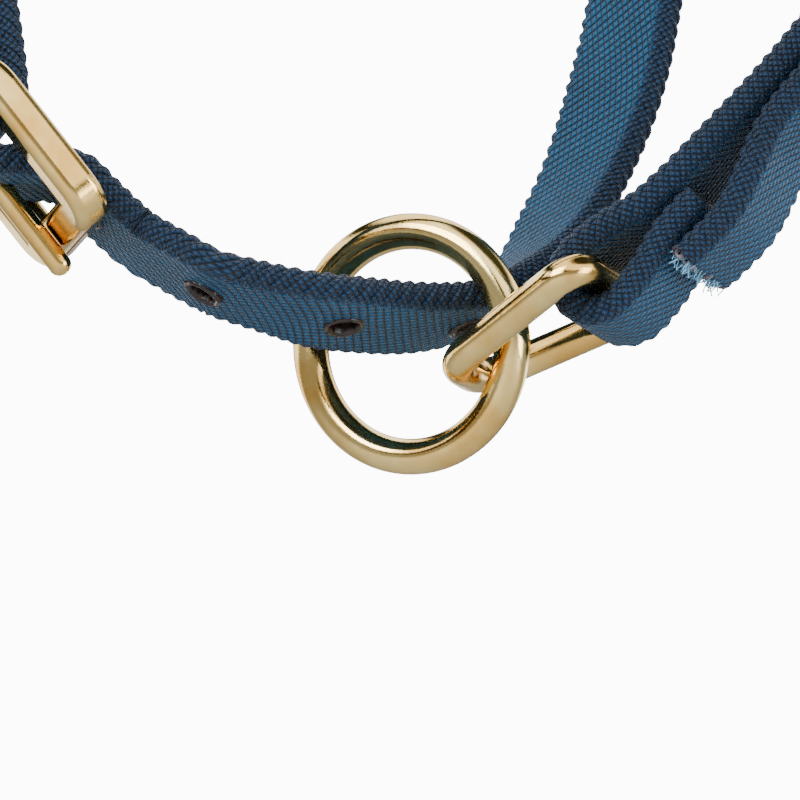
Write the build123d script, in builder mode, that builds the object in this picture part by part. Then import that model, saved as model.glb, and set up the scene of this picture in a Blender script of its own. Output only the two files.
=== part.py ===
from build123d import *
from math import acos, atan2, cos, hypot, radians, sin, tan
import os

# Head halter of flat webbing with plated buckles: a nose loop and a neck loop, joined under
# the chin by a ring, a wire link and a doubled throat strap. Millimetres, +Z up, +X towards
# the neck. The origin is the centre of the opening that the muzzle goes through.

# webbing
WEB_WIDTH = 14.0
WEB_THICK = 3.4
LAYER_GAP = 0.3          # between two layers of webbing that lie on each other
FOLD_STEPS = 8           # flats that make one half turn of a fold
SPAN_STEPS = 4           # stations between two points of a route
HOLE_DIAMETER = 3.0      # burnt hole in a billet
HOLE_PITCH = 15.5
HOLE_COUNT = 4

# chin ring
RING_BORE = 20.8
RING_WIRE = 4.0
RING_CENTRE = Vector(6, 14, -45)
RING_AXIS = Vector(0.34, -0.88, -0.33)

# throat link, a wire dee whose straight bar lies in a fold of the throat strap
LINK_WIRE = 3.8
LINK_LENGTH = 18.7       # from the bar's centre line to the tip's
LINK_BAR = 22.6          # between the centre lines of the arms, at the bar
LINK_TIP = 8.8           # the same, at the tip
LINK_BAR_BEND = 2.6
LINK_TIP_BEND = 4.5
LINK_CENTRE = Vector(27.8, 24.2, -42.5)
LINK_DIRECTION = Vector(-0.84, -0.39, -0.37)
LINK_ACROSS = Vector(0.47, -0.87, -0.16)

# buckles
BAR_DIAMETER = 3.6       # heel bar that the strap and the tongue turn on
SIDE_BAR = 4.4
END_BAR = 4.6
FRAME_THICK = 4.2
FRAME_ROOM = 1.2         # each side, between the webbing and the side bars
WINDOW_LENGTH = 15.0     # heel bar's centre line to the end bar's near face
FRAME_CORNER = 4.5
FRAME_EDGE = 1.2
TONGUE_WIRE = 2.6
TONGUE_OVERHANG = 1.6    # how far the tongue's tip passes the end bar
TURN_CLEARANCE = 0.3     # round every bar that something turns on
TONGUE_SLOT = 5.2        # slot in the fold, for the tongue's eye
HOLE_ROOM = 0.7          # in the stretched hole, round the tongue
FRAME_LIFT = 6.0         # degrees that the frame swings outwards on the sewn end
TONGUE_SWING = 6.0       # degrees that the tongue lifts in its hole

# sewn ends
RETURN_LENGTH = 26.0     # how far a folded end runs back under the billet
TAIL_LENGTH = 33.0       # billet's free end, from the heel bar
KEEPER_LENGTH = 8.0
KEEPER_THICK = 1.3
KEEPER_AT = 19.0         # from the heel bar to the keeper's middle
THREAD = 0.6
THREAD_LIFT = 0.45       # clear of the webbing, which is built of short flats
STITCH_LENGTH = 2.2
STITCH_PITCH = 3.0
STITCH_START = 14.0      # from the heel bar to the first stitch
STITCH_COUNT = 4
STITCH_ROWS = (-5.0, 0.0, 5.0)

# nose loop: the buckle hangs beside the jaw on the near side
NOSE_HEEL = Vector(-10.9, -34.3, -23.8)
NOSE_ALONG = Vector(-0.17, -0.66, 0.73)
NOSE_TURN = 40.0         # the sewn end leaves the heel bar this far inwards of the frame
NOSE_ACROSS = Vector(0.90, -0.39, -0.19)
NOSE_ROUTE = [
    (1.5, -38.5, 13.0), (8.5, -31.5, 25.0), (15.5, -18.0, 34.5), (21.5, -2.0, 39.0),
    (25.5, 13.0, 37.0), (26.5, 24.0, 29.5), (24.2, 34.0, 13.9), (20.2, 34.9, -3.2),
    (17.5, 33.7, -14.5), (14.6, 32.0, -23.0), (12.8, 29.6, -28.8), (10.6, 26.8, -34.0),
    (8.8, 21.7, -39.4), (7.6, 15.6, -42.0), (6.2, 7.4, -43.5), (4.7, -0.8, -44.0),
    (1.0, -9.8, -42.6),
]
NOSE_ROUTE_ACROSS = [
    (0.92, -0.36, -0.20), (0.93, -0.30, -0.25), (0.93, -0.20, -0.33), (0.90, 0.00, -0.43),
    (0.88, 0.05, -0.47), (0.86, 0.06, -0.51), (0.86, 0.06, -0.51), (0.86, 0.06, -0.51),
    (0.86, 0.06, -0.50), (0.87, -0.04, -0.45), (0.87, -0.12, -0.38), (0.87, -0.28, -0.28),
    (0.86, -0.45, -0.12), (0.85, -0.60, -0.03), (0.84, -0.70, 0.02), (0.84, -0.70, 0.03),
    (0.86, -0.60, -0.05),
]

# neck loop: an oval round the neck, with its buckle high on the near side
NECK_CENTRE = Vector(101, 24, 62)
NECK_SIDE = Vector(-0.20, 0.98, 0.0)
NECK_RISE = Vector(0.12, 0.0245, 0.99)
NECK_HALF_WIDTH = 54.0
NECK_HALF_HEIGHT = 66.0
NECK_BUCKLE_ANGLE = 187.0
NECK_TURN = 12.0
NECK_ROUTE_STEPS = 34
NECK_JOIN_ANGLE = -78.0  # where the throat strap is sewn on, left of the lowest point

# throat strap: from the link's bar back and up to the neck loop, where its two layers are
# sewn to the two faces of the neck strap
THROAT_DIRECTION = Vector(0.74, 0.29, 0.60)
THROAT_ROUTE = [(50.0, 32.6, -24.5), (60.5, 34.8, -16.5), (71.0, 35.0, -9.6), (80.0, 34.4, -5.2)]
THROAT_ROUTE_ACROSS = [(0.44, -0.89, -0.12), (0.33, -0.94, -0.06), (0.24, -0.97, 0.0),
                       (0.20, -0.98, 0.0)]
THROAT_TUCK = 14.0       # how far the folded end is tucked under the covering layer
THROAT_COVER_GAP = 8.5   # from the link's bar to the cut end of the covering layer
THROAT_LAP = 12.0        # over this length the covering layer comes down off the tucked end
THROAT_STEPS = 5
NECK_HOLLOW = 0.7        # room for the neck strap's curve across the joint


def smooth(points, steps):
    """Points of a Catmull-Rom curve: each span is a cubic whose end slopes are half the chord
    between the neighbours."""
    points = [Vector(*p) for p in points]
    first = points[0] * 2 - points[1]
    last = points[-1] * 2 - points[-2]
    all_points = [first] + points + [last]
    curve = []
    for i in range(1, len(all_points) - 2):
        a, b, c, d = all_points[i - 1:i + 3]
        for step in range(steps):
            t = step / steps
            curve.append(b + (c - a) * (t / 2) + (a * 2 - b * 5 + c * 4 - d) * (t * t / 2)
                         + (b * 3 - a - c * 3 + d) * (t ** 3 / 2))
    curve.append(points[-1])
    return curve


def station_planes(points, acrosses):
    """One plane square to the strap at each point, its X across the webbing."""
    planes = []
    last = len(points) - 1
    for i, point in enumerate(points):
        tangent = (points[min(i + 1, last)] - points[max(i - 1, 0)]).normalized()
        across = acrosses[i] - tangent * acrosses[i].dot(tangent)
        planes.append(Plane(origin=point, x_dir=across.normalized(), z_dir=tangent))
    return planes


def fold(bar, along, out, radius, start=0.0, end=180.0):
    """Half turn round a bar, from its outer side to its inner side, on the side away from
    the strap."""
    points = []
    for step in range(FOLD_STEPS + 1):
        angle = radians(start + (end - start) * step / FOLD_STEPS)
        points.append(bar + out * (cos(angle) * radius) - along * (sin(angle) * radius))
    return points


def webbing(planes):
    """One length of webbing through its stations."""
    with BuildPart() as strap:
        for plane in planes:
            with BuildSketch(plane):
                Rectangle(WEB_WIDTH, WEB_THICK)
        loft(ruled=True)
    return strap.part


def write(part, name):
    part.label = name
    export_step(part, "parts/" + name + ".step")


FOLD_RADIUS = BAR_DIAMETER / 2 + TURN_CLEARANCE + WEB_THICK / 2 + 0.1
HALF_LAYER = (WEB_THICK + LAYER_GAP) / 2
BILLET_LIFT = HALF_LAYER + WEB_THICK + LAYER_GAP
OVER_HEEL = FOLD_RADIUS + WEB_THICK + TURN_CLEARANCE + 0.2
END_BAR_CENTRE = WINDOW_LENGTH + END_BAR / 2
TONGUE_LIFT = FRAME_THICK / 2 + TONGUE_WIRE / 2 + 0.05


class Buckle:
    """Where one buckle sits. The frame lies in its own plane, and the sewn end of the strap
    leaves the heel bar turned inwards from it, in the plane called carry."""

    def __init__(self, heel, along, across, turn):
        self.heel = heel
        along = along.normalized()
        self.across = (across - along * across.dot(along)).normalized()
        out = self.across.cross(along)
        self.turn = turn
        lean = cos(radians(turn)), sin(radians(turn))
        self.plane = Plane(origin=heel, x_dir=along, z_dir=out)
        self.carry = Plane(origin=heel, x_dir=along * lean[0] - out * lean[1],
                           z_dir=out * lean[0] + along * lean[1])

    def at(self, along, out):
        """Point in the frame's plane: along, away from the window, and outwards."""
        return self.plane.from_local_coords(Vector(along, 0, out))

    def on_strap(self, along, out):
        """The same, measured along the sewn end."""
        return self.carry.from_local_coords(Vector(along, 0, out))

    def strap_start(self):
        """Sewn end: back along the outer side, round the heel bar, away on the inner side."""
        side = [(RETURN_LENGTH, HALF_LAYER), (RETURN_LENGTH / 2, HALF_LAYER),
                (5.0, FOLD_RADIUS - 0.7)]
        return ([self.on_strap(along, out) for along, out in side]
                + fold(self.heel, self.carry.x_dir, self.carry.z_dir, FOLD_RADIUS)
                + [self.on_strap(along, -out) for along, out in reversed(side)])

    def billet(self):
        """Free end: behind the end bar, up through the window, over the heel bar's fold."""
        under = -FRAME_THICK / 2 - TURN_CLEARANCE - WEB_THICK / 2 - 0.1
        rise = END_BAR_CENTRE - 4.0, under + 0.4
        first = atan2(rise[0], rise[1]) - acos(OVER_HEEL / hypot(*rise))
        last = -radians(self.turn)
        over = [first + (last - first) * i / FOLD_STEPS for i in range(FOLD_STEPS + 1)]
        return ([self.at(-END_BAR_CENTRE - 6.0, under - 1.0),
                 self.at(-END_BAR_CENTRE - 2.0, under - 0.3),
                 self.at(-END_BAR_CENTRE, under), self.at(-rise[0], rise[1])]
                + [self.at(-OVER_HEEL * sin(angle), OVER_HEEL * cos(angle)) for angle in over]
                + [self.on_strap(KEEPER_AT - 6.5, BILLET_LIFT + 0.4),
                   self.on_strap(TAIL_LENGTH, BILLET_LIFT)])


def buckle_frame(buckle):
    """Cast frame: rounded side bars and end bar, and a thinner round heel bar."""
    inner = WEB_WIDTH + 2 * FRAME_ROOM
    outer = inner + 2 * SIDE_BAR
    heel_end = BAR_DIAMETER / 2 + 0.6
    length = END_BAR_CENTRE + END_BAR / 2 + heel_end
    middle = heel_end - length / 2
    with BuildPart(buckle.plane) as frame:
        with BuildSketch(buckle.plane):
            with Locations((middle, 0)):
                RectangleRounded(length, outer, FRAME_CORNER)
            with Locations((heel_end - (WINDOW_LENGTH + heel_end + 1) / 2 + 1, 0)):
                Rectangle(WINDOW_LENGTH + heel_end + 1, inner, mode=Mode.SUBTRACT)
        extrude(amount=FRAME_THICK / 2, both=True)
        faces = frame.faces().sort_by(Axis(buckle.heel, buckle.plane.z_dir))
        fillet(faces[0].edges() + faces[-1].edges(), FRAME_EDGE)
        with Locations(Location((0, 0, 0), (90, 0, 0))):
            Cylinder(BAR_DIAMETER / 2, inner + 1.0)
    return frame.part


def buckle_tongue(buckle):
    """Wire tongue: an eye round the heel bar and a straight shank to the end bar."""
    eye = BAR_DIAMETER / 2 + TURN_CLEARANCE + TONGUE_WIRE / 2
    reach = END_BAR_CENTRE + END_BAR / 2 + TONGUE_OVERHANG
    with BuildPart(buckle.plane) as tongue:
        with Locations(Location((0, 0, 0), (90, 0, 0))):
            Torus(eye, TONGUE_WIRE / 2)
        with Locations(Location((-reach / 2, 0, TONGUE_LIFT), (0, 90, 0))):
            Cylinder(TONGUE_WIRE / 2, reach)
        with Locations((-reach, 0, TONGUE_LIFT)):
            Sphere(TONGUE_WIRE / 2)
    return tongue.part


def buckled_strap(buckle, planes, hole_planes):
    """Strap with a slot for the tongue's eye, a stretched hole for its shank, and burnt holes."""
    top = TONGUE_LIFT + TONGUE_WIRE / 2 + HOLE_ROOM / 2
    bottom = TONGUE_LIFT - TONGUE_WIRE / 2 - HOLE_ROOM / 2
    reach = WINDOW_LENGTH - 1.0
    lift = reach * tan(radians(FRAME_LIFT + TONGUE_SWING))
    slot = FOLD_RADIUS + WEB_THICK / 2 + 0.1
    side = Plane(origin=buckle.heel, x_dir=-buckle.plane.x_dir, z_dir=-buckle.across)
    with BuildPart() as strap:
        add(webbing(planes))
        with BuildSketch(buckle.carry):
            Rectangle(2 * slot, TONGUE_SLOT)
        extrude(amount=slot, both=True, mode=Mode.SUBTRACT)
        with BuildSketch(side):
            with BuildLine():
                Polyline((1, bottom), (reach, bottom), (reach, top + lift), (1, top), close=True)
            make_face()
        extrude(amount=(TONGUE_WIRE + HOLE_ROOM) / 2, both=True, mode=Mode.SUBTRACT)
        for hole in hole_planes:
            with BuildSketch(hole):
                Circle(HOLE_DIAMETER / 2)
            extrude(amount=WEB_THICK, both=True, mode=Mode.SUBTRACT)
    return strap.part


def keeper(buckle):
    """Flat band sewn round the fold and the billet's free end."""
    room = 0.3
    low = -HALF_LAYER - WEB_THICK / 2 - THREAD - room
    high = BILLET_LIFT + WEB_THICK / 2 + 2 * room
    with BuildPart(buckle.carry.offset((low + high) / 2)) as band:
        with Locations((KEEPER_AT, 0)):
            Box(KEEPER_LENGTH, WEB_WIDTH + 2 * room + 2 * KEEPER_THICK,
                high - low + 2 * KEEPER_THICK)
            Box(KEEPER_LENGTH, WEB_WIDTH + 2 * room, high - low, mode=Mode.SUBTRACT)
    return band.part


def stitches(planes, rows, level):
    """Thread runs lying on the webbing, one on each row at each plane, along its Z."""
    with BuildPart() as thread:
        for plane in planes:
            for row in rows:
                spot = plane.from_local_coords(Vector(row, level, 0))
                with BuildSketch(Plane(origin=spot, x_dir=plane.x_dir, z_dir=plane.z_dir)):
                    Circle(THREAD / 2)
                extrude(amount=STITCH_LENGTH / 2, both=True)
    return thread.part


def end_stitches(buckle):
    """Thread on the inner face of a sewn end."""
    planes = [Plane(origin=buckle.on_strap(STITCH_START + i * STITCH_PITCH, 0),
                    x_dir=buckle.across, z_dir=buckle.carry.x_dir) for i in range(STITCH_COUNT)]
    side = 1 if planes[0].y_dir.dot(buckle.carry.z_dir) < 0 else -1
    return stitches(planes, STITCH_ROWS, side * (HALF_LAYER + WEB_THICK / 2 + THREAD / 2 + 0.05))


def hole_planes_on(planes, buckle, count):
    """Planes flat on the strap, one hole pitch apart, counted back from the tongue's hole."""
    station = min(range(len(planes) // 2, len(planes)),
                  key=lambda i: (planes[i].origin - buckle.at(-8.0, TONGUE_LIFT)).length)
    planes = planes[station::-1]
    chosen = []
    travelled = 0.0
    wanted = HOLE_PITCH
    for plane, following in zip(planes, planes[1:]):
        if len(chosen) == count:
            break
        step = (following.origin - plane.origin).length
        if travelled + step >= wanted:
            t = (wanted - travelled) / step
            centre = plane.origin + (following.origin - plane.origin) * t
            chosen.append(Plane(origin=centre, x_dir=plane.z_dir, z_dir=plane.y_dir))
            wanted += HOLE_PITCH
        travelled += step
    return chosen


os.makedirs("parts", exist_ok=True)

# ---- nose loop ----
nose_buckle = Buckle(NOSE_HEEL, NOSE_ALONG, NOSE_ACROSS, NOSE_TURN)
nose_start = nose_buckle.strap_start()
nose_middle = smooth([nose_start[-1]] + NOSE_ROUTE, SPAN_STEPS)[1:]
nose_middle_across = smooth([nose_buckle.across] + NOSE_ROUTE_ACROSS, SPAN_STEPS)[1:]
nose_billet = nose_buckle.billet()
nose_planes = station_planes(
    nose_start + nose_middle + nose_billet,
    [nose_buckle.across] * len(nose_start) + nose_middle_across
    + [nose_buckle.across] * len(nose_billet))
nose_holes = hole_planes_on(nose_planes, nose_buckle, HOLE_COUNT)
write(buckled_strap(nose_buckle, nose_planes, nose_holes), "nose_strap")
write(buckle_frame(nose_buckle), "nose_buckle_frame")
write(buckle_tongue(nose_buckle), "nose_buckle_tongue")
write(keeper(nose_buckle), "nose_keeper")
write(end_stitches(nose_buckle), "nose_stitching")

# ---- neck loop ----


def neck_point(angle):
    """Point of the oval at an angle in degrees, 0 on the far side and 90 at the top."""
    return (NECK_CENTRE + NECK_SIDE.normalized() * (cos(radians(angle)) * NECK_HALF_WIDTH)
            + NECK_RISE.normalized() * (sin(radians(angle)) * NECK_HALF_HEIGHT))


neck_axis = NECK_SIDE.cross(NECK_RISE).normalized()
neck_heel = neck_point(NECK_BUCKLE_ANGLE)
neck_along = neck_point(NECK_BUCKLE_ANGLE - 6) - neck_point(NECK_BUCKLE_ANGLE + 6)
neck_buckle = Buckle(neck_heel, neck_along, neck_axis, NECK_TURN)
neck_start = neck_buckle.strap_start()
neck_first = NECK_BUCKLE_ANGLE - 38.0
neck_last = NECK_BUCKLE_ANGLE + 34.0 - 360.0
neck_angles = [neck_first + (neck_last - neck_first) * i / NECK_ROUTE_STEPS
               for i in range(NECK_ROUTE_STEPS + 1)]
neck_middle = [neck_point(angle) for angle in neck_angles]
neck_billet = neck_buckle.billet()
neck_points = neck_start + neck_middle + neck_billet
neck_planes = station_planes(neck_points, [neck_buckle.across] * len(neck_points))
neck_holes = hole_planes_on(neck_planes, neck_buckle, HOLE_COUNT)
write(buckled_strap(neck_buckle, neck_planes, neck_holes), "neck_strap")
write(buckle_frame(neck_buckle), "neck_buckle_frame")
write(buckle_tongue(neck_buckle), "neck_buckle_tongue")
write(keeper(neck_buckle), "neck_keeper")
write(end_stitches(neck_buckle), "neck_stitching")

# ---- chin ring ----
with BuildPart(Plane(origin=RING_CENTRE, z_dir=RING_AXIS)) as chin_ring:
    Torus((RING_BORE + RING_WIRE) / 2, RING_WIRE / 2)
write(chin_ring.part, "chin_ring")

# ---- throat link ----
link_plane = Plane(origin=LINK_CENTRE, x_dir=LINK_DIRECTION,
                   z_dir=LINK_DIRECTION.cross(LINK_ACROSS))
with BuildPart() as throat_link:
    with BuildLine(link_plane) as link_line:
        FilletPolyline((0, -LINK_BAR / 2), (LINK_LENGTH, -LINK_TIP / 2),
                       (LINK_LENGTH, LINK_TIP / 2), (0, LINK_BAR / 2), close=True,
                       radius=[LINK_BAR_BEND, LINK_TIP_BEND, LINK_TIP_BEND, LINK_BAR_BEND])
    with BuildSketch(Plane(origin=link_line.line @ 0, z_dir=link_line.line % 0)):
        Circle(LINK_WIRE / 2)
    sweep()
write(throat_link.part, "throat_link")

# ---- throat strap ----
neck_join = neck_point(NECK_JOIN_ANGLE)
join_along = neck_buckle.across
join_across = (neck_point(NECK_JOIN_ANGLE - 5) - neck_point(NECK_JOIN_ANGLE + 5)).normalized()
join_out = join_along.cross(join_across)
throat_along = THROAT_DIRECTION.normalized()
throat_across = (LINK_ACROSS - throat_along * LINK_ACROSS.dot(throat_along)).normalized()
throat_out = throat_along.cross(throat_across)
fold_start = LINK_CENTRE + throat_along * THROAT_TUCK
centre_line = smooth([fold_start] + THROAT_ROUTE
                     + [neck_join - join_along * (WEB_WIDTH / 2 + 4)], THROAT_STEPS)
centre_across = smooth([throat_across] + THROAT_ROUTE_ACROSS + [join_across], THROAT_STEPS)
centre_planes = station_planes(centre_line, centre_across)
# the layers part to let the neck strap in between them
split = THROAT_STEPS
spreads = [HALF_LAYER] * (len(centre_planes) - split)
spreads += [HALF_LAYER + (HALF_LAYER + WEB_THICK / 2) * min(i + 1, split - 2) / (split - 2)
            for i in range(split)]


def layer(planes, offsets):
    """Stations moved off the centre line, along each station's outer side."""
    return [plane.origin + plane.y_dir * offset
            for plane, offset in zip(planes, offsets)]


link_fold = LINK_WIRE / 2 + TURN_CLEARANCE + WEB_THICK / 2 + 0.1
bar_side = [(THROAT_TUCK, HALF_LAYER), (9.0, HALF_LAYER + 0.2), (4.5, link_fold - 0.6)]
inner_end = [neck_join - join_out * (WEB_THICK + LAYER_GAP + NECK_HOLLOW)
             + join_along * reach for reach in (-WEB_WIDTH / 2 - 1, 0.0, WEB_WIDTH / 2)]
throat_points = (
    [LINK_CENTRE + throat_along * along + throat_out * out for along, out in bar_side]
    + fold(LINK_CENTRE, throat_along, throat_out, link_fold)
    + [LINK_CENTRE + throat_along * along - throat_out * out for along, out in bar_side[:0:-1]]
    + layer(centre_planes, [-spread for spread in spreads]) + inner_end)
lead_in = len(throat_points) - len(centre_planes) - len(inner_end)
write(webbing(station_planes(throat_points, [throat_across] * lead_in + centre_across
                             + [join_across] * 3)), "throat_strap")

# ---- covering layer, with a cut end over the tucked end of the throat strap ----
over_tuck = HALF_LAYER + WEB_THICK + 2 * LAYER_GAP
cover_start = [LINK_CENTRE + throat_along * along + throat_out * over_tuck
               for along in (THROAT_COVER_GAP, THROAT_TUCK - 2.0, THROAT_TUCK + 1.0)]
travelled = [THROAT_TUCK + sum((b - a).length for a, b in zip(centre_line[:i], centre_line[1:]))
             for i in range(len(centre_line))]
drop = [min(max((distance - THROAT_TUCK - 1.0) / THROAT_LAP, 0.0), 1.0) for distance in travelled]
kept = [i for i, distance in enumerate(travelled) if distance > THROAT_TUCK + 2.0]
lifts = [spreads[i] + (WEB_THICK + LAYER_GAP) * (1 + cos(radians(180 * drop[i]))) / 2
         for i in kept]
cover_end = [neck_join + join_out * (WEB_THICK + LAYER_GAP)
             + join_along * reach for reach in (-WEB_WIDTH / 2 - 1, 0.0, WEB_WIDTH / 2)]
cover_points = cover_start + layer([centre_planes[i] for i in kept], lifts) + cover_end
write(webbing(station_planes(cover_points, [throat_across] * 3
                             + [centre_across[i] for i in kept] + [join_across] * 3)),
      "throat_cover")

# ---- thread along the two edges of the doubled strap, and across its joint to the neck strap ----
thread_lift = WEB_THICK / 2 + THREAD / 2 + THREAD_LIFT
sewn = [i for i, distance in enumerate(travelled)
        if distance > THROAT_TUCK + THROAT_LAP + 2 and i < len(centre_planes) - split]
write(stitches([centre_planes[i] for i in sewn], (-5.0, 5.0), HALF_LAYER + thread_lift),
      "throat_stitching")
joint_planes = [Plane(origin=neck_join + join_along * reach, x_dir=join_across, z_dir=join_along)
                for reach in (-3.4, -0.4, 2.6, 5.4)]
write(stitches(joint_planes, STITCH_ROWS, WEB_THICK + 2 * LAYER_GAP + thread_lift),
      "joint_stitching")
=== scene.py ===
import bpy
import numpy as np
from mathutils import Matrix, Vector


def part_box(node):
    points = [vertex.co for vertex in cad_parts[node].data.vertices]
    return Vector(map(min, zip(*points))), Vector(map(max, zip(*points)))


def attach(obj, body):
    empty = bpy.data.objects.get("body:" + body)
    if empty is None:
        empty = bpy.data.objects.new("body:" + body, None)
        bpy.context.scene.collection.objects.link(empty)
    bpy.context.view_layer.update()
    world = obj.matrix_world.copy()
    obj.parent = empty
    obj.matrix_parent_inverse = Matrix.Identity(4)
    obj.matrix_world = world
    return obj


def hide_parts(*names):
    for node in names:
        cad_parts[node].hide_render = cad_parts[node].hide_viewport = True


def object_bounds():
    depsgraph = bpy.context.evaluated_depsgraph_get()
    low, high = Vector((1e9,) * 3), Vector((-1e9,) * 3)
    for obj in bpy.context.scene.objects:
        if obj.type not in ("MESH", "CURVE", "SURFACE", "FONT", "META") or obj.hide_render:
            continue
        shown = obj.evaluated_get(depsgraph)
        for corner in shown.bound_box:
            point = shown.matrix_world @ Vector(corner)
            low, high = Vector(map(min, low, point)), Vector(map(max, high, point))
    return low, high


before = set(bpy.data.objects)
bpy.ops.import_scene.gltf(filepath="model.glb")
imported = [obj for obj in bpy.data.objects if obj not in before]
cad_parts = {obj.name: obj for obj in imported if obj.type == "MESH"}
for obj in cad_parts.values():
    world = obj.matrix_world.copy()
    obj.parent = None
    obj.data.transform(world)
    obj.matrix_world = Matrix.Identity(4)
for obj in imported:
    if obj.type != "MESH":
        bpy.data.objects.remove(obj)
cad_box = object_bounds()


# ---- Camera: a long lens below and behind the chin, looking up at the ring ----
AZIMUTH, ELEVATION = np.radians(50.0), np.radians(-22.0)
DISTANCE = 0.62
VIEW_WIDTH = 0.088
right = np.array([np.cos(AZIMUTH), np.sin(AZIMUTH), 0.0])
back = np.array([np.cos(ELEVATION) * np.sin(AZIMUTH), -np.cos(ELEVATION) * np.cos(AZIMUTH),
                 np.sin(ELEVATION)])
up = np.cross(back, right)
ring_low, ring_high = (np.array(corner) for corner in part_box("chin_ring"))
ring_centre = (ring_low + ring_high) / 2
# the ring sits a little right of the middle and above it
look_at = ring_centre - right * 0.00116 - up * 0.00616
camera_data = bpy.data.cameras.new("camera")
camera_data.sensor_width = 36.0
camera_data.lens = camera_data.sensor_width * DISTANCE / VIEW_WIDTH
camera_data.clip_end = 10.0
camera = bpy.data.objects.new("camera", camera_data)
camera.matrix_world = Matrix([list(row) + [place] for row, place in zip(
    np.stack([right, up, back], axis=1), look_at + back * DISTANCE)] + [[0, 0, 0, 1]])
bpy.context.scene.collection.objects.link(camera)
bpy.context.scene.camera = camera


def linear(colour, alpha=1.0):
    """sRGB hex to the linear colour that a shader socket takes."""
    value = np.array([int(colour[i:i + 2], 16) for i in (1, 3, 5)]) / 255.0
    value = np.where(value <= 0.04045, value / 12.92, ((value + 0.055) / 1.055) ** 2.4)
    return (*[float(v) for v in value], alpha)


# ---- Floor and studio light: a pale floor far below, and large soft lamps ----
# The lamps stand wide apart, so that polished metal shows pale faces with dark gaps between.
def plain(name, colour, roughness):
    """Material of one colour and roughness."""
    material = bpy.data.materials.new(name)
    material.use_nodes = True
    shader = material.node_tree.nodes["Principled BSDF"]
    shader.inputs["Base Color"].default_value = linear(colour)
    shader.inputs["Roughness"].default_value = roughness
    return material


def add(tree, kind, settings=None, links=()):
    """Adds one shader node, sets its properties and sockets, and links sockets into it."""
    node = tree.nodes.new(kind)
    for key, value in (settings or {}).items():
        if isinstance(key, str) and hasattr(node, key):
            setattr(node, key, value)
        else:
            node.inputs[key].default_value = value
    for key, source in links:
        tree.links.new(source, node.inputs[key])
    return node


bpy.ops.mesh.primitive_plane_add(size=60.0, location=(0, 0, cad_box[0][2] - 0.30))
floor = bpy.context.object
floor.name = "floor"
floor.data.materials.append(plain("matt_floor_paint", "#f2f2f0", 0.9))

world = bpy.data.worlds.new("studio")
bpy.context.scene.world = world
world.use_nodes = True
studio = world.node_tree
ambient = studio.nodes["Background"]
ambient.inputs["Color"].default_value = linear("#e9ecef")
ambient.inputs["Strength"].default_value = 0.55
backdrop = add(studio, "ShaderNodeBackground", {"Color": linear("#ffffff"), "Strength": 12.0})
# what polished metal sees: white walls with darker gaps between them, by height over the camera
heading = add(studio, "ShaderNodeTexCoord")
lean = tuple(float(v) for v in 0.9 * up + 0.43 * right)
height = add(studio, "ShaderNodeVectorMath", {"operation": "DOT_PRODUCT", 1: lean},
             [(0, heading.outputs["Generated"])])
level = add(studio, "ShaderNodeMapRange", {1: -1.0}, [(0, height.outputs["Value"])])
walls = add(studio, "ShaderNodeValToRGB", links=[(0, level.outputs[0])])
BANDS = [(0.00, "#5a4630"), (0.10, "#15140e"), (0.20, "#ffffff"), (0.34, "#f3efe4"),
         (0.39, "#1b2118"), (0.47, "#3a2418"), (0.51, "#fffdf6"), (0.60, "#ffffff"),
         (0.64, "#2a2f22"), (0.70, "#10130f"), (0.75, "#f8f4ea"), (0.90, "#ffffff"),
         (0.96, "#2b2c20")]
while len(walls.color_ramp.elements) < len(BANDS):
    walls.color_ramp.elements.new(0.5)
for element, (position, colour) in zip(walls.color_ramp.elements, BANDS):
    element.position = position
    element.color = linear(colour)
shine = add(studio, "ShaderNodeBackground", {"Strength": 2.6},
            [("Color", walls.outputs["Color"])])
ray = add(studio, "ShaderNodeLightPath")
lighting = add(studio, "ShaderNodeMixShader", links=[
    (0, ray.outputs["Is Glossy Ray"]), (1, ambient.outputs[0]), (2, shine.outputs[0])])
whole = add(studio, "ShaderNodeMixShader", links=[
    (0, ray.outputs["Is Camera Ray"]), (1, lighting.outputs[0]), (2, backdrop.outputs[0])])
studio.links.new(whole.outputs[0], studio.nodes["World Output"].inputs["Surface"])


def lamp(name, place, size, power):
    """Square softbox at a place given along right, up and back of the camera, aimed at the ring."""
    data = bpy.data.lights.new(name, "AREA")
    data.shape = "SQUARE"
    data.size = size
    data.energy = power
    position = ring_centre + right * place[0] + up * place[1] + back * place[2]
    light = bpy.data.objects.new(name, data)
    light.location = position
    light.rotation_euler = Vector(position - ring_centre).to_track_quat("Z", "Y").to_euler()
    bpy.context.scene.collection.objects.link(light)


lamp("key_softbox", (-0.45, 0.55, 0.55), 0.5, 9.0)
lamp("fill_softbox", (0.70, 0.10, 0.45), 0.4, 4.0)
lamp("low_softbox", (0.05, -0.65, 0.35), 0.5, 4.0)


# ---- Webbing: flat woven nylon, dyed petrol blue, with plaited edges ----
# Woven on a narrow loom: slanted rows on both faces and a round plaited chain along each edge.
# A strap is one profile carried along a route; each route is the one its solid follows.
MM = 0.001
WEB_WIDTH, WEB_THICK = 14.0, 3.4
LAYER_GAP = 0.3
HALF_LAYER = (WEB_THICK + LAYER_GAP) / 2
CHAIN_PITCH = 1.65
ROW_STEP = 0.3
FACE_COLUMNS = 27
EDGE_WIDTH = 1.9         # of the plaited chain, from the strap's edge inwards
EDGE_SWELL, EDGE_SINK = 0.42, 0.26
FACE_SINK = 0.05
END_TAPER = 0.9          # a cut end is crushed to 80 % of its thickness over this length


def unit(vector):
    return vector / np.linalg.norm(vector, axis=-1, keepdims=True)


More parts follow.
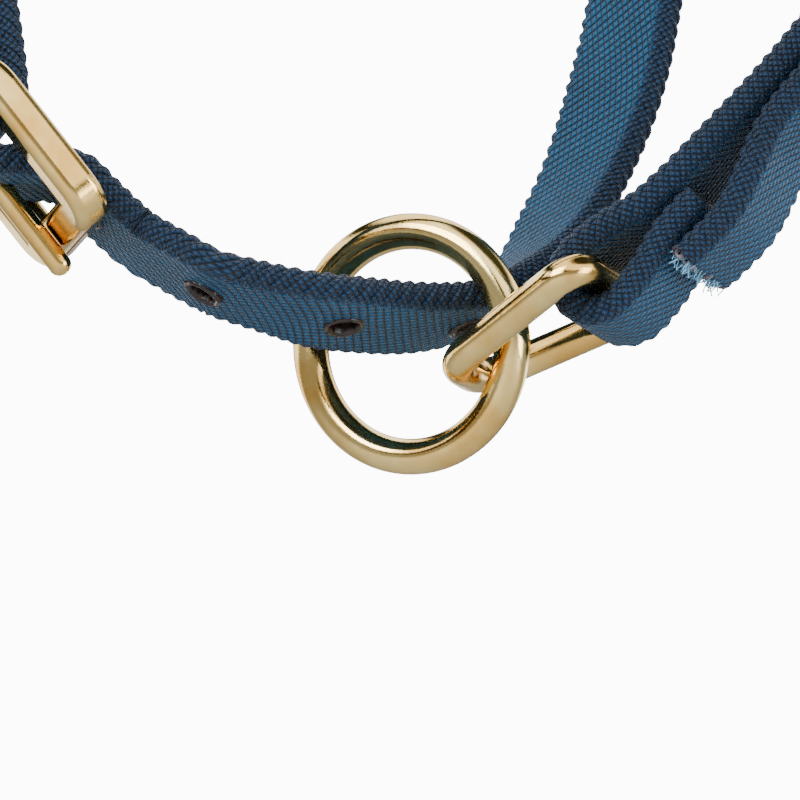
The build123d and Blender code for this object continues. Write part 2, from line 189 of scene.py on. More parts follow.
def smooth(points, steps):
    """Catmull-Rom: each span is a cubic whose end slopes are half the chord of its neighbours."""
    points = np.asarray(points, float)
    points = np.vstack([2 * points[0] - points[1], points, 2 * points[-1] - points[-2]])
    a, b, c, d = points[:-3], points[1:-2], points[2:-1], points[3:]
    t = (np.arange(steps) / steps)[None, :, None]
    a, b, c, d = (p[:, None, :] for p in (a, b, c, d))
    curve = (b + (c - a) * t / 2 + (2 * a - 5 * b + 4 * c - d) * t ** 2 / 2
             + (3 * b - a - 3 * c + d) * t ** 3 / 2)
    return np.vstack([curve.reshape(-1, 3), points[-2:-1]])


def even(points, others, step, soften):
    """Resamples a route at an even step and rounds its corners by a moving average."""
    points, others = np.asarray(points, float), np.asarray(others, float)
    for fine in (0.5 * step, step):
        travelled = np.r_[0, np.cumsum(np.linalg.norm(np.diff(points, axis=0), axis=1))]
        at = np.linspace(0, travelled[-1], int(travelled[-1] / fine) + 1)
        points = np.stack([np.interp(at, travelled, points[:, k]) for k in range(3)], 1)
        others = np.stack([np.interp(at, travelled, others[:, k]) for k in range(3)], 1)
        if fine < step and soften:
            n = int(soften / fine) // 2
            for _ in range(2):
                for values in (points, others):
                    start = 2 * values[:1] - values[n:0:-1]
                    end = 2 * values[-1:] - values[-2:-n - 2:-1]
                    padded = np.vstack([start, values, end])
                    total = np.cumsum(np.vstack([np.zeros((1, values.shape[1])), padded]), 0)
                    values[:] = (total[2 * n + 1:] - total[:-2 * n - 1]) / (2 * n + 1)
    return points, others


def web_profile():
    """Closed outline of the webbing: flat faces and half-round edges, as across and out offsets."""
    half, bulge = WEB_WIDTH / 2 - WEB_THICK / 2, WEB_THICK / 2
    face = np.linspace(-half, half, FACE_COLUMNS)
    turn = np.linspace(np.pi / 2, -np.pi / 2, 12)[1:-1]
    across = np.r_[face, half + bulge * np.cos(turn), face[::-1], -half - bulge * np.cos(turn)]
    flat = np.full(FACE_COLUMNS, bulge)
    out = np.r_[flat, bulge * np.sin(turn), -flat, -bulge * np.sin(turn)]
    return across, out


def strap_mesh(name, route, across, material, holes=(), step=ROW_STEP, soften=2.4):
    """Carries the profile along the route. A point lies at route + across * a + out * b, where the
    two edges swell and shrink as a rectified sine along the strap, which makes the chain."""
    centre, wide = even(route, across, step, soften)
    tangent = unit(np.gradient(centre, axis=0))
    wide = unit(wide - tangent * np.sum(wide * tangent, 1, keepdims=True))
    out = np.cross(tangent, wide)
    a, b = web_profile()
    rows, columns = len(centre), len(a)
    along = np.arange(rows) * step
    edge = np.clip((np.abs(a) - (WEB_WIDTH / 2 - EDGE_WIDTH)) / 1.2, 0, 1)
    slant = np.sign(a) * b * 0.55
    chain = np.abs(np.sin(np.pi * (along[:, None] + slant[None, :]) / CHAIN_PITCH))
    swell = edge[None, :] * (EDGE_SWELL * chain - EDGE_SINK) - (1 - edge[None, :]) * FACE_SINK
    end = np.clip(np.minimum(along, along[::-1]) / END_TAPER, 0, 1)[:, None]
    scale = 0.80 + 0.20 * np.sqrt(end)
    centre_a = np.clip(a, -WEB_WIDTH / 2 + WEB_THICK / 2, WEB_WIDTH / 2 - WEB_THICK / 2)
    away = unit(np.stack([a - centre_a, b], 1))
    grid_a = a[None, :] + away[None, :, 0] * swell
    grid_b = (b[None, :] + away[None, :, 1] * swell) * scale
    points = (centre[:, None, :] + wide[:, None, :] * grid_a[..., None]
              + out[:, None, :] * grid_b[..., None])
    vertices = np.vstack([points.reshape(-1, 3), centre[:1], centre[-1:]]) * MM
    i, j = np.meshgrid(np.arange(rows - 1), np.arange(columns), indexing="ij")
    k = (j + 1) % columns
    quads = np.stack([i * columns + j, (i + 1) * columns + j, (i + 1) * columns + k,
                      i * columns + k], -1).reshape(-1, 4)
    middle = points.reshape(-1, 3)[quads].mean(1)
    kept = np.ones(len(quads), bool)
    for place, axis, radius in holes:
        offset = middle - place
        depth = offset @ axis
        kept &= ~((np.linalg.norm(offset - depth[:, None] * axis, axis=1) < radius)
                  & (np.abs(depth) < WEB_THICK))
    quads, i, j = quads[kept], i.reshape(-1)[kept], j.reshape(-1)[kept]
    loop = np.arange(columns)
    first, last = rows * columns, rows * columns + 1
    caps = [(first, int(p), int((p + 1) % columns)) for p in loop]
    base = (rows - 1) * columns
    caps += [(last, int(base + (p + 1) % columns), int(base + p)) for p in loop]
    mesh = bpy.data.meshes.new(name)
    mesh.from_pydata(vertices.tolist(), [], quads.tolist() + caps)
    # the weave is laid out in millimetres: U round the profile, V along the strap
    girth = np.r_[0, np.cumsum(np.hypot(np.diff(a, append=a[0]), np.diff(b, append=b[0])))]
    uv = np.zeros((len(quads) * 4 + len(caps) * 3, 2))
    uv[:len(quads) * 4, 0] = girth[
        np.stack([j, j, j + 1, j + 1], 1)].ravel()
    uv[:len(quads) * 4, 1] = np.stack([i, i + 1, i + 1, i], 1).ravel() * step
    layer = mesh.uv_layers.new(name="weave")
    layer.data.foreach_set("uv", uv.ravel())
    side = mesh.attributes.new("edge", "FLOAT", "POINT")
    strength = np.r_[np.tile(edge, rows), 0.5, 0.5]
    side.data.foreach_set("value", strength)
    mesh.polygons.foreach_set("use_smooth", [True] * len(mesh.polygons))
    mesh.materials.append(material)
    mesh.update()
    piece = bpy.data.objects.new(name, mesh)
    bpy.context.scene.collection.objects.link(piece)
    return piece


def webbing_material(name, face, weave_gap_shade, edge_light, plait_gap_shade):
    """Nylon webbing: slanted rows of floats on the faces, with painted shade in the gaps between
    them, and a darker plaited chain on the edges, with painted shade between its plaits. Row pitch
    1.05 mm, plait pitch 0.825 mm, half the chain's."""
    material = bpy.data.materials.new(name)
    material.use_nodes = True
    tree = material.node_tree
    shader = tree.nodes["Principled BSDF"]
    uv = add(tree, "ShaderNodeUVMap", {"uv_map": "weave"})
    split = add(tree, "ShaderNodeSeparateXYZ", links=[(0, uv.outputs[0])])
    u, v = split.outputs[0], split.outputs[1]

    def wave(inputs, pitch, slant, power=1.0):
        """Rectified sine of (V + slant * U) over the pitch."""
        turned = add(tree, "ShaderNodeMath", {"operation": "MULTIPLY_ADD", 1: slant},
                     [(0, inputs[1]), (2, inputs[0])])
        scaled = add(tree, "ShaderNodeMath", {"operation": "MULTIPLY", 1: float(np.pi / pitch)},
                     [(0, turned.outputs[0])])
        sine = add(tree, "ShaderNodeMath", {"operation": "SINE"}, [(0, scaled.outputs[0])])
        size = add(tree, "ShaderNodeMath", {"operation": "ABSOLUTE"}, [(0, sine.outputs[0])])
        return add(tree, "ShaderNodeMath", {"operation": "POWER", 1: power}, [(0, size.outputs[0])])

    rows = wave((v, u), 1.05, 0.62, 0.7)
    floats = wave((u, v), 0.85, -0.35, 0.45)
    weave = add(tree, "ShaderNodeMath", {"operation": "MULTIPLY"},
                [(0, rows.outputs[0]), (1, floats.outputs[0])])
    plait_a = wave((v, u), CHAIN_PITCH / 2, 0.9, 0.6)
    plait_b = wave((v, u), CHAIN_PITCH / 2, -0.9, 0.6)
    plait = add(tree, "ShaderNodeMath", {"operation": "MULTIPLY"},
                [(0, plait_a.outputs[0]), (1, plait_b.outputs[0])])
    edge = add(tree, "ShaderNodeAttribute", {"attribute_name": "edge"})
    # uneven dye, 8 mm blotches and 0.5 mm filament streaks
    place = add(tree, "ShaderNodeTexCoord")
    dye = add(tree, "ShaderNodeTexNoise", {"Scale": 125.0, "Detail": 3.0},
              [("Vector", place.outputs["Object"])])
    streak = add(tree, "ShaderNodeTexNoise", {"Scale": 1900.0, "Detail": 2.0},
                 [("Vector", place.outputs["Object"])])
    # painted shade: the weave's low parts, the gaps between floats, take a near-black colour as if
    # shadowed
    face_ramp = add(tree, "ShaderNodeValToRGB", links=[(0, weave.outputs[0])])
    face_ramp.color_ramp.elements[0].color = linear(weave_gap_shade)
    face_ramp.color_ramp.elements[0].position = 0.10
    face_ramp.color_ramp.elements[1].color = linear(face)
    face_ramp.color_ramp.elements[1].position = 0.60
    # painted shade: the gaps between the plaits take a near-black colour as if shadowed
    edge_ramp = add(tree, "ShaderNodeValToRGB", links=[(0, plait.outputs[0])])
    edge_ramp.color_ramp.elements[0].color = linear(plait_gap_shade)
    edge_ramp.color_ramp.elements[0].position = 0.12
    edge_ramp.color_ramp.elements[1].color = linear(edge_light)
    edge_ramp.color_ramp.elements[1].position = 0.75
    both = add(tree, "ShaderNodeMix", {"data_type": "RGBA"},
               [(0, edge.outputs["Fac"]), (6, face_ramp.outputs[0]), (7, edge_ramp.outputs[0])])
    blotch = add(tree, "ShaderNodeMapRange", {1: 0.3, 2: 0.7, 3: 0.82, 4: 1.14},
                 [(0, dye.outputs[0])])
    fleck = add(tree, "ShaderNodeMapRange", {1: 0.3, 2: 0.7, 3: 0.80, 4: 1.18},
                [(0, streak.outputs[0])])
    tint = add(tree, "ShaderNodeMath", {"operation": "MULTIPLY"},
               [(0, blotch.outputs[0]), (1, fleck.outputs[0])])
    coloured = add(tree, "ShaderNodeVectorMath", {"operation": "SCALE"},
                   [(0, both.outputs[2]), ("Scale", tint.outputs[0])])
    tree.links.new(coloured.outputs[0], shader.inputs["Base Color"])
    height = add(tree, "ShaderNodeMix", {"data_type": "FLOAT"},
                 [(0, edge.outputs["Fac"]), (2, weave.outputs[0]), (3, plait.outputs[0])])
    relief = add(tree, "ShaderNodeMath", {"operation": "MULTIPLY_ADD", 1: 0.25},
                 [(0, streak.outputs[0]), (2, height.outputs[0])])
    bump = add(tree, "ShaderNodeBump", {"Strength": 1.0, "Distance": 0.0007},
               [("Height", relief.outputs[0])])
    tree.links.new(bump.outputs[0], shader.inputs["Normal"])
    shader.inputs["Roughness"].default_value = 0.55
    shader.inputs["Specular IOR Level"].default_value = 0.30
    shader.inputs["Sheen Weight"].default_value = 0.06
    shader.inputs["Sheen Roughness"].default_value = 0.4
    return material


# 051a30 and #030a18 are painted shade for the gaps of the weave and of the plait
webbing = webbing_material("woven_nylon_webbing", "#145a86", "#051a30", "#123a5e", "#030a18")


# ---- Nose strap: one length of webbing, folded round its buckle and sewn back ----
# The free end runs behind the end bar, up through the window and over the fold.
FOLD_RADIUS, OVER_HEEL, BILLET_LIFT = 3.9, 7.8, 5.55
END_BAR, FRAME_THICK, TONGUE_LIFT, KEEPER_AT = 17.3, 4.2, 3.45, 19.0
HOLE_PITCH, BURN_RADIUS = 15.5, 1.75


def buckle_axes(heel, along, across, turn):
    """Heel point, then along, out and across of the frame, and along and out of the sewn end."""
    along = unit(np.array(along, float))
    across = np.array(across, float)
    across = unit(across - along * (across @ along))
    out = np.cross(across, along)
    c, s = np.cos(np.radians(turn)), np.sin(np.radians(turn))
    return (np.array(heel, float), along, out, across, along * c - out * s,
            out * c + along * s, turn)


def sewn_end(axes):
    """Back along the outer side, half a turn round the heel bar, away on the inner side."""
    heel, _, _, _, along, out, _ = axes
    side = [(26, HALF_LAYER), (13, HALF_LAYER), (5, FOLD_RADIUS - 0.7)]
    turn = [(-FOLD_RADIUS * np.sin(t), FOLD_RADIUS * np.cos(t))
            for t in np.radians(np.linspace(0, 180, 9))]
    path = side + turn + [(a, -o) for a, o in side[::-1]]
    return [heel + along * a + out * o for a, o in path]


def free_end(axes):
    """Under the end bar, up through the window, over the fold by an arc, along the sewn end."""
    heel, along, out, _, carry_along, carry_out, turn = axes
    under = -FRAME_THICK / 2 - 0.3 - WEB_THICK / 2 - 0.1
    rise = END_BAR - 4, under + 0.4
    first = np.arctan2(rise[0], rise[1]) - np.arccos(OVER_HEEL / np.hypot(*rise))
    arc = np.linspace(first, -np.radians(turn), 9)
    path = [(-END_BAR - 6, under - 1), (-END_BAR - 2, under - 0.3), (-END_BAR, under),
            (-rise[0], rise[1])]
    path += [(-OVER_HEEL * np.sin(t), OVER_HEEL * np.cos(t)) for t in arc]
    tail = [(KEEPER_AT - 6.5, BILLET_LIFT + 0.4), (33, BILLET_LIFT)]
    return ([heel + along * a + out * o for a, o in path]
            + [heel + carry_along * a + carry_out * o for a, o in tail])


def punched(route, axes, count):
    """Holes one pitch apart, counted back from the tongue: centre, and the strap's run there."""
    route = np.array(route)
    heel, along, out = axes[:3]
    last = len(route) // 2 + np.argmin(np.linalg.norm(
        route[len(route) // 2:] - (heel - along * 8 + out * TONGUE_LIFT), axis=1))
    path = route[last::-1]
    travelled = np.r_[0, np.cumsum(np.linalg.norm(np.diff(path, axis=0), axis=1))]
    holes = []
    for n in range(1, count + 1):
        i = int(np.searchsorted(travelled, n * HOLE_PITCH)) - 1
        t = (n * HOLE_PITCH - travelled[i]) / (travelled[i + 1] - travelled[i])
        holes.append((path[i] * (1 - t) + path[i + 1] * t, path[max(i - 1, 0)] - path[i + 2]))
    return holes


nose_buckle = buckle_axes((-10.9, -34.3, -23.8), (-0.17, -0.66, 0.73), (0.90, -0.39, -0.19), 40)
NOSE_ROUTE = [
    (1.5, -38.5, 13.0), (8.5, -31.5, 25.0), (15.5, -18.0, 34.5), (21.5, -2.0, 39.0),
    (25.5, 13.0, 37.0), (26.5, 24.0, 29.5), (24.2, 34.0, 13.9), (20.2, 34.9, -3.2),
    (17.5, 33.7, -14.5), (14.6, 32.0, -23.0), (12.8, 29.6, -28.8), (10.6, 26.8, -34.0),
    (8.8, 21.7, -39.4), (7.6, 15.6, -42.0), (6.2, 7.4, -43.5), (4.7, -0.8, -44.0),
    (1.0, -9.8, -42.6)]
NOSE_ACROSS = [
    (0.92, -0.36, -0.20), (0.93, -0.30, -0.25), (0.93, -0.20, -0.33), (0.90, 0.00, -0.43),
    (0.88, 0.05, -0.47), (0.86, 0.06, -0.51), (0.86, 0.06, -0.51), (0.86, 0.06, -0.51),
    (0.86, 0.06, -0.50), (0.87, -0.04, -0.45), (0.87, -0.12, -0.38), (0.87, -0.28, -0.28),
    (0.86, -0.45, -0.12), (0.85, -0.60, -0.03), (0.84, -0.70, 0.02), (0.84, -0.70, 0.03),
    (0.86, -0.60, -0.05)]
start, end = sewn_end(nose_buckle), free_end(nose_buckle)
nose_route = start + list(smooth([start[-1]] + NOSE_ROUTE, 4)[1:]) + end
nose_across = ([nose_buckle[3]] * len(start) + list(smooth([nose_buckle[3]] + NOSE_ACROSS, 4)[1:])
               + [nose_buckle[3]] * len(end))


def holes_in(route, across, axes, count):
    """The same holes with the strap's own normal as their axis, and the radius of the burn."""
    holes = []
    across = np.array(across)
    for centre, along in punched(route, axes, count):
        nearest = np.argmin(np.linalg.norm(np.array(route) - centre, axis=1))
        axis = unit(np.cross(along, across[nearest]))
        holes.append((centre, axis, BURN_RADIUS))
    return holes


nose_holes = holes_in(nose_route, nose_across, nose_buckle, 4)
nose_strap = strap_mesh("nose_strap_webbing", nose_route, nose_across, webbing, nose_holes)
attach(nose_strap, "halter")
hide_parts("nose_strap")


# ---- Burnt holes: melted nylon lining each adjustment hole ----
# A hot punch leaves a hard dark brown wall with a low swollen lip on both faces.
melt = bpy.data.materials.new("melted_nylon")
melt.use_nodes = True
tree = melt.node_tree
place = add(tree, "ShaderNodeTexCoord")
char = add(tree, "ShaderNodeTexNoise", {"Scale": 900.0, "Detail": 4.0},
           [("Vector", place.outputs["Object"])])
ramp = add(tree, "ShaderNodeValToRGB", links=[(0, char.outputs[0])])
ramp.color_ramp.elements[0].color = linear("#0b0708")
ramp.color_ramp.elements[0].position = 0.35
ramp.color_ramp.elements[1].color = linear("#2e1a1a")
ramp.color_ramp.elements[1].position = 0.70
bump = add(tree, "ShaderNodeBump", {"Strength": 0.6, "Distance": 0.0003},
           [("Height", char.outputs[0])])
shader = tree.nodes["Principled BSDF"]
tree.links.new(ramp.outputs[0], shader.inputs["Base Color"])
tree.links.new(bump.outputs[0], shader.inputs["Normal"])
shader.inputs["Roughness"].default_value = 0.32


def mesh_piece(name, vertices, faces, material, body, replaced=()):
    """Smooth-shaded piece from vertices in millimetres, riding on a body."""
    mesh = bpy.data.meshes.new(name)
    mesh.from_pydata((np.asarray(vertices) * MM).tolist(), [], [tuple(map(int, f)) for f in faces])
    mesh.polygons.foreach_set("use_smooth", [True] * len(mesh.polygons))
    mesh.materials.append(material)
    mesh.update()
    piece = bpy.data.objects.new(name, mesh)
    bpy.context.scene.collection.objects.link(piece)
    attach(piece, body)
    if replaced:
        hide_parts(*replaced)
    return piece


def grid_faces(rows, columns, closed_rows=False):
    """Quads of a grid whose columns close up, and whose rows close up when asked."""
    i, j = np.meshgrid(np.arange(rows if closed_rows else rows - 1), np.arange(columns),
                       indexing="ij")
    i2, j2 = (i + 1) % rows, (j + 1) % columns
    corners = [i * columns + j, i2 * columns + j, i2 * columns + j2, i * columns + j2]
    return np.stack(corners, -1).reshape(-1, 4)


BURN_TURNS = 72


def burnt_holes(name, holes, seed):
    """Each lining is a closed profile turned about the hole: wall, lip, back into the strap. Its
    radius swells by sines of the turn, as a melt does."""
    random = np.random.default_rng(seed)
    profile = np.array([(1.42, 0.0), (1.45, 0.9), (1.55, 1.45), (1.75, 1.86), (2.02, 1.93),
                        (2.22, 1.80), (2.25, 1.50), (2.1, 0.8), (2.1, -0.8), (2.25, -1.50),
                        (2.22, -1.80), (2.02, -1.93), (1.75, -1.86), (1.55, -1.45),
                        (1.45, -0.9)])
    vertices, faces = [], []
    for centre, axis, _ in holes:
        first = unit(np.cross(axis, (0.3, 0.5, 0.8)))
        second = np.cross(axis, first)
        turn = np.linspace(0, 2 * np.pi, BURN_TURNS, endpoint=False)
        swell = 1 + sum(random.uniform(0.01, 0.04) * np.sin(n * turn + random.uniform(0, 6))
                        for n in (2, 3, 5, 9))
        ring = first * np.cos(turn)[:, None] + second * np.sin(turn)[:, None]
        points = (centre + ring[:, None, :] * (profile[None, :, :1] * swell[:, None, None])
                  + axis * profile[None, :, 1:])
        faces.append(grid_faces(BURN_TURNS, len(profile), True) + sum(map(len, vertices)))
        vertices.append(points.reshape(-1, 3))
    return mesh_piece(name, np.vstack(vertices), np.vstack(faces), melt, "halter")


burnt_holes("nose_strap_burnt_holes", nose_holes, 3)


# ---- Neck strap: the same webbing in an oval round the neck ----
# Buckled high on the near side, with the throat strap sewn on at its lowest point.
NECK_SIDE, NECK_RISE = unit(np.array([-0.20, 0.98, 0.0])), unit(np.array([0.12, 0.0245, 0.99]))


def neck_point(angle):
    """Point of an oval, 0 degrees on the far side and 90 at the top."""
    angle = np.radians(angle)
    return (np.array([101.0, 24.0, 62.0]) + NECK_SIDE * (np.cos(angle) * 54.0)
            + NECK_RISE * (np.sin(angle) * 66.0))


neck_axis = unit(np.cross(NECK_SIDE, NECK_RISE))
neck_buckle = buckle_axes(neck_point(187), neck_point(181) - neck_point(193), neck_axis, 12)
neck_route = (sewn_end(neck_buckle) + [neck_point(a) for a in np.linspace(149, -139, 35)]
              + free_end(neck_buckle))
neck_across = [neck_buckle[3]] * len(neck_route)
neck_holes = holes_in(neck_route, neck_across, neck_buckle, 4)
neck_strap = strap_mesh("neck_strap_webbing", neck_route, neck_across, webbing, neck_holes, 0.42)
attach(neck_strap, "halter")
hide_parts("neck_strap")
burnt_holes("neck_strap_burnt_holes", neck_holes, 5)


# ---- Throat strap: webbing folded round the link's bar and run up to the neck strap ----
# Its short folded end lies under a second layer, whose cut end shows at the link.
LINK_CENTRE = np.array([27.8, 24.2, -42.5])
LINK_DIRECTION = unit(np.array([-0.84, -0.39, -0.37]))
LINK_ACROSS = np.array([0.47, -0.87, -0.16])
LINK_ACROSS = unit(LINK_ACROSS - LINK_DIRECTION * (LINK_ACROSS @ LINK_DIRECTION))
neck_join = neck_point(-78)
join_along = neck_buckle[3]
join_across = unit(neck_point(-83) - neck_point(-73))
join_out = np.cross(join_along, join_across)
throat_along = unit(np.array([0.74, 0.29, 0.60]))
throat_across = unit(LINK_ACROSS - throat_along * (LINK_ACROSS @ throat_along))
throat_out = np.cross(throat_along, throat_across)
line = smooth([LINK_CENTRE + throat_along * 14, (50.0, 32.6, -24.5), (60.5, 34.8, -16.5),
               (71.0, 35.0, -9.6), (80.0, 34.4, -5.2), neck_join - join_along * 11], 5)
line_across = smooth([throat_across, (0.44, -0.89, -0.12), (0.33, -0.94, -0.06), (0.24, -0.97, 0.0),
                      (0.20, -0.98, 0.0), join_across], 5)
tangent = np.empty_like(line)
tangent[1:-1] = line[2:] - line[:-2]
tangent[0], tangent[-1] = line[1] - line[0], line[-1] - line[-2]
tangent = unit(tangent)
line_wide = unit(line_across - tangent * np.sum(line_across * tangent, 1, keepdims=True))
line_out = np.cross(tangent, line_wide)
spread = np.full(len(line), HALF_LAYER)
spread[-5:] += (HALF_LAYER + WEB_THICK / 2) * np.minimum(np.arange(1, 6), 3) / 3
fold_radius = 3.8 / 2 + 0.3 + WEB_THICK / 2 + 0.1
side = [(14.0, HALF_LAYER), (9.0, HALF_LAYER + 0.2), (4.5, fold_radius - 0.6)]
turn = [(-fold_radius * np.sin(t), fold_radius * np.cos(t))
        for t in np.radians(np.linspace(0, 180, 9))]
throat_route = [LINK_CENTRE + throat_along * a + throat_out * o
                for a, o in side + turn + [(a, -o) for a, o in side[:0:-1]]]
lead_in = len(throat_route)
ends = (-WEB_WIDTH / 2 - 1, 0.0, WEB_WIDTH / 2)
throat_route += list(line - line_out * spread[:, None])
throat_route += [neck_join - join_out * (WEB_THICK + LAYER_GAP + 0.7) + join_along * e
                 for e in ends]
throat_strap = strap_mesh("throat_strap_webbing", throat_route, [throat_across] * lead_in
                          + list(line_across) + [join_across] * 3, webbing)
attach(throat_strap, "halter")
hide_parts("throat_strap")


# ---- Throat cover: the outer layer, cut square and heat sealed where it ends ----
# The same webbing, laid over the throat strap's tucked end, then sewn down onto the strap.
over_tuck = HALF_LAYER + WEB_THICK + 2 * LAYER_GAP
run = 14 + np.r_[0, np.cumsum(np.linalg.norm(np.diff(line, axis=0), axis=1))]
kept = run > 16
fall = (1 + np.cos(np.pi * np.clip((run - 15) / 12, 0, 1))) / 2
lift = spread + (WEB_THICK + LAYER_GAP) * fall
cover_route = [LINK_CENTRE + throat_along * a + throat_out * over_tuck for a in (8.5, 12.0, 15.0)]
cover_route += list((line + line_out * lift[:, None])[kept])
cover_route += [neck_join + join_out * (WEB_THICK + LAYER_GAP) + join_along * e for e in ends]
throat_cover = strap_mesh("throat_cover_webbing", cover_route, [throat_across] * 3
                          + list(line_across[kept]) + [join_across] * 3, webbing)
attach(throat_cover, "halter")
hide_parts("throat_cover")


# ---- Frayed cut end: a greyish mauve melted edge with pale blue tufts of filament ----
# A flame seals the cut: most of the edge melts into lumps, and loose filaments stand out of it.
sealed = bpy.data.materials.new("heat_sealed_nylon")
sealed.use_nodes = True
tree = sealed.node_tree
place = add(tree, "ShaderNodeTexCoord")
grain = add(tree, "ShaderNodeTexNoise", {"Scale": 1400.0, "Detail": 3.0},
            [("Vector", place.outputs["Object"])])
ramp = add(tree, "ShaderNodeValToRGB", links=[(0, grain.outputs[0])])
ramp.color_ramp.elements[0].color = linear("#2c3444")
ramp.color_ramp.elements[0].position = 0.35
ramp.color_ramp.elements[1].color = linear("#8f8794")
ramp.color_ramp.elements[1].position = 0.70
tree.links.new(ramp.outputs[0], tree.nodes["Principled BSDF"].inputs["Base Color"])
tree.nodes["Principled BSDF"].inputs["Roughness"].default_value = 0.45
filament = plain("nylon_filament", "#79b4d6", 0.4)


def wire(name, paths, radii, sides, material, body, replaced=()):
    """Round wires along paths: a circle of the path's radius at each point, square to its run,
    turned as little as possible from one point to the next."""
    vertices, faces = [], []
    for path, radius in zip(paths, radii):
        path = np.asarray(path, float)
        run = unit(np.gradient(path, axis=0))
        first = unit(np.cross(run[0], (0.31, 0.47, 0.83)))
        turn = np.linspace(0, 2 * np.pi, sides, endpoint=False)
        size = np.broadcast_to(radius, len(path))
        rows = []
        for point, along, r in zip(path, run, size):
            first = unit(first - along * (first @ along))
            second = np.cross(along, first)
            spokes = first * np.cos(turn)[:, None] + second * np.sin(turn)[:, None]
            rows.append(point + r * spokes)
        offset = sum(map(len, vertices))
        faces += (grid_faces(len(path), sides) + offset).tolist()
        faces.append([offset + k for k in range(sides)][::-1])
        faces.append([offset + (len(path) - 1) * sides + k for k in range(sides)])
        vertices.append(np.vstack(rows))
    return mesh_piece(name, np.vstack(vertices), faces, material, body, replaced)


random = np.random.default_rng(11)
cut = cover_route[0]
tufts, lumps = [], []
for _ in range(150):
    across, out = random.uniform(-6.6, 6.6), random.uniform(-1.5, 1.5)
    root = cut + throat_across * across + throat_out * out + throat_along * 0.6
    lean = throat_across * random.normal(0, 0.35) + throat_out * random.normal(0, 0.35)
    reach = random.uniform(0.8, 2.4)
    steps = np.linspace(0, 1, 6)[:, None]
    tufts.append(root - throat_along * reach * steps + lean * reach * steps ** 2)
wire("throat_cover_frayed_filaments", tufts, [0.07] * len(tufts), 6, filament, "halter")
LUMPS = 26
for k in range(LUMPS):
    across = -6.6 + 13.2 * k / (LUMPS - 1)
    out = random.uniform(-0.9, 0.9)
    path = [cut + throat_across * (across + d) + throat_out * (out + random.uniform(-0.4, 0.4))
            - throat_along * random.uniform(-0.1, 0.25) for d in (-0.5, -0.15, 0.2, 0.5)]
    lumps.append(path)
wire("throat_cover_sealed_edge", lumps, [np.array([0.3, 0.62, 0.6, 0.3])] * LUMPS, 10,
     sealed, "halter")


# ---- Brass plate: polished steel wire and castings, plated pale gold ----
brass = bpy.data.materials.new("brass_plate")
brass.use_nodes = True
tree = brass.node_tree
shader = tree.nodes["Principled BSDF"]
place = add(tree, "ShaderNodeTexCoord")
# 6 mm patches of thinner plate and 0.4 mm handling scratches
patch = add(tree, "ShaderNodeTexNoise", {"Scale": 170.0, "Detail": 4.0},
            [("Vector", place.outputs["Object"])])
ramp = add(tree, "ShaderNodeValToRGB", links=[(0, patch.outputs[0])])
ramp.color_ramp.elements[0].color = linear("#dcae5c")
ramp.color_ramp.elements[0].position = 0.35
ramp.color_ramp.elements[1].color = linear("#f4d88e")
ramp.color_ramp.elements[1].position = 0.65
stretched = add(tree, "ShaderNodeMapping", {"Scale": (1.0, 6.0, 1.6)},
                [("Vector", place.outputs["Object"])])
scratch = add(tree, "ShaderNodeTexNoise", {"Scale": 2400.0, "Detail": 5.0},
              [("Vector", stretched.outputs[0])])
rough = add(tree, "ShaderNodeMapRange", {1: 0.35, 2: 0.80, 3: 0.02, 4: 0.07},
            [(0, scratch.outputs[0])])
bump = add(tree, "ShaderNodeBump", {"Strength": 0.12, "Distance": 0.0001},
           [("Height", scratch.outputs[0])])
tree.links.new(ramp.outputs[0], shader.inputs["Base Color"])
tree.links.new(rough.outputs[0], shader.inputs["Roughness"])
tree.links.new(bump.outputs[0], shader.inputs["Normal"])
shader.inputs["Metallic"].default_value = 1.0


# ---- Chin ring: round steel wire, bent, butt welded and plated ----
# The two straps meet on it, and its lower part is free for a lead's hook.
def hoop(name, line, outward, normal, radius, body, replaced):
    """Closed round wire: every point lies at its centre line's point + outward * radius * cosine
    + normal * radius * sine of the turn about the wire."""
    turn = np.linspace(0, 2 * np.pi, 40, endpoint=False)
    points = (line[:, None, :] + outward[:, None, :] * (radius * np.cos(turn))[None, :, None]
              + normal * (radius * np.sin(turn))[None, :, None])
    mesh_piece(name, points.reshape(-1, 3), grid_faces(len(line), len(turn), True), brass, body,
               (replaced,))


ring_axis = unit(np.array([0.34, -0.88, -0.33]))
first = unit(np.cross(ring_axis, (0, 0, 1)))
second = np.cross(ring_axis, first)
turn = np.linspace(0, 2 * np.pi, 181)[:-1]
spoke = first * np.cos(turn)[:, None] + second * np.sin(turn)[:, None]
RING_RADIUS, RING_WIRE = 12.4, 2.0
hoop("chin_ring_wire", np.array([6.0, 14.0, -45.0]) + spoke * RING_RADIUS, spoke, ring_axis,
     RING_WIRE, "ring", "chin_ring")


# ---- Throat link: a dee of plated steel wire, bent round and butt welded ----
# Its straight bar lies inside the strap's fold, and its narrow tip hooks through the ring.
def rounded(corners, radii, steps=12):
    """Closed polygon with each corner replaced by an arc that touches both of its sides."""
    path = []
    for i, radius in enumerate(radii):
        before, corner, after = (np.array(corners[(i + k) % len(radii)], float)
                                 for k in (-1, 0, 1))
        a, b = unit(before - corner), unit(after - corner)
        half = np.arccos(a @ b) / 2
        centre = corner + unit(a + b) * radius / np.sin(half)
        p, q = (corner + side * radius / np.tan(half) - centre for side in (a, b))
        whole = np.arccos(np.clip(p @ q / radius ** 2, -1, 1))
        for t in np.linspace(0, 1, steps):
            part = p * np.sin((1 - t) * whole) + q * np.sin(t * whole)
            path.append(centre + part / np.sin(whole))
    return np.array(path)


def on_link(flat):
    """Points or directions of the link's own plane, in the row frame."""
    return flat[:, :1] * LINK_DIRECTION + flat[:, 1:] * LINK_ACROSS


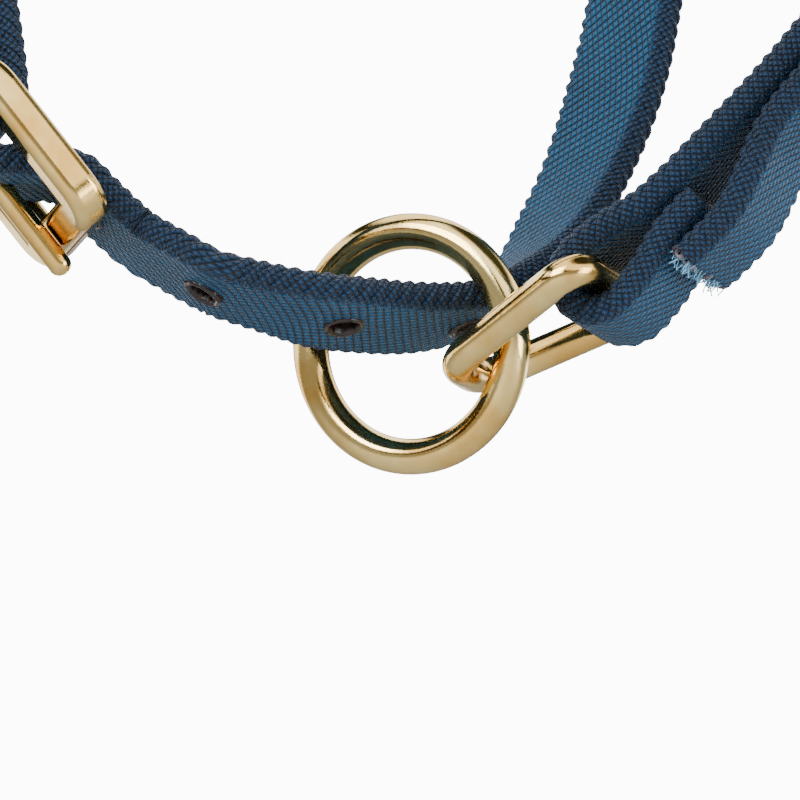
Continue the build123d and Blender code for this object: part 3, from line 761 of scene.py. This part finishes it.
flat = rounded([(0, -11.3), (18.7, -4.4), (18.7, 4.4), (0, 11.3)], (2.6, 4.5, 4.5, 2.6))
flat = np.vstack([flat, flat[:1]])
travelled = np.r_[0, np.cumsum(np.linalg.norm(np.diff(flat, axis=0), axis=1))]
at = np.linspace(0, travelled[-1], 241)[:-1]
flat = np.stack([np.interp(at, travelled, flat[:, k]) for k in (0, 1)], 1)
run = unit(np.roll(flat, -1, 0) - np.roll(flat, 1, 0))
outward = np.stack([run[:, 1], -run[:, 0]], 1)
LINK_WIRE = 1.9
hoop("throat_link_wire", LINK_CENTRE + on_link(flat), on_link(outward),
     np.cross(LINK_DIRECTION, LINK_ACROSS), LINK_WIRE, "link", "throat_link")


# ---- Buckle tongues: plated wire with an eye round the heel bar and a blunt point ----
# Each eye is a full turn of the wire, and each shank rests on the frame's end bar.
EYE_RADIUS, TONGUE_WIRE = 3.4, 1.28
for label, axes in (("nose", nose_buckle), ("neck", neck_buckle)):
    heel, along, out = axes[:3]
    eye = np.array([heel + along * EYE_RADIUS * np.sin(t) + out * EYE_RADIUS * np.cos(t)
                    for t in np.linspace(0, 2 * np.pi, 73)])
    reaches = np.r_[np.linspace(-0.2, 20.4, 50), 20.8, 21.2, 21.4]
    shank = np.array([heel - along * reach + out * TONGUE_LIFT for reach in reaches])
    thickness = np.r_[np.full(50, TONGUE_WIRE), 1.15, 0.8, 0.3]
    wire(label + "_buckle_tongue_wire", [eye, shank], [TONGUE_WIRE, thickness], 28, brass,
         label + "_tongue", (label + "_buckle_tongue",))


# ---- Buckle frames: heavy cast frames, plated and polished ----
# Their cast bodies keep the solid's own shape; the finish is what changes.
def finish_nodes(names, material):
    """Gives CAD nodes that stay visible another material in all of their slots."""
    for name in names:
        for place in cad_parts[name].material_slots:
            place.material = material


finish_nodes(("nose_buckle_frame", "neck_buckle_frame"), brass)


# ---- Stitching: bonded nylon thread, machine sewn ----
# It holds the folded ends, the two layers of the throat strap, and their joint.
finish_nodes(("nose_stitching", "neck_stitching", "throat_stitching", "joint_stitching"),
             plain("bonded_nylon_thread", "#1b4a6b", 0.5))


# ---- Keepers: moulded nylon bands that hold the free ends down ----
# Injection moulded, so their edges come out slightly rounded.
KEEPERS = ("nose_keeper", "neck_keeper")
finish_nodes(KEEPERS, plain("moulded_nylon", "#12344f", 0.42))
for name in KEEPERS:
    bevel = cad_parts[name].modifiers.new("moulded_edge", "BEVEL")
    bevel.width, bevel.segments = 0.0004, 3
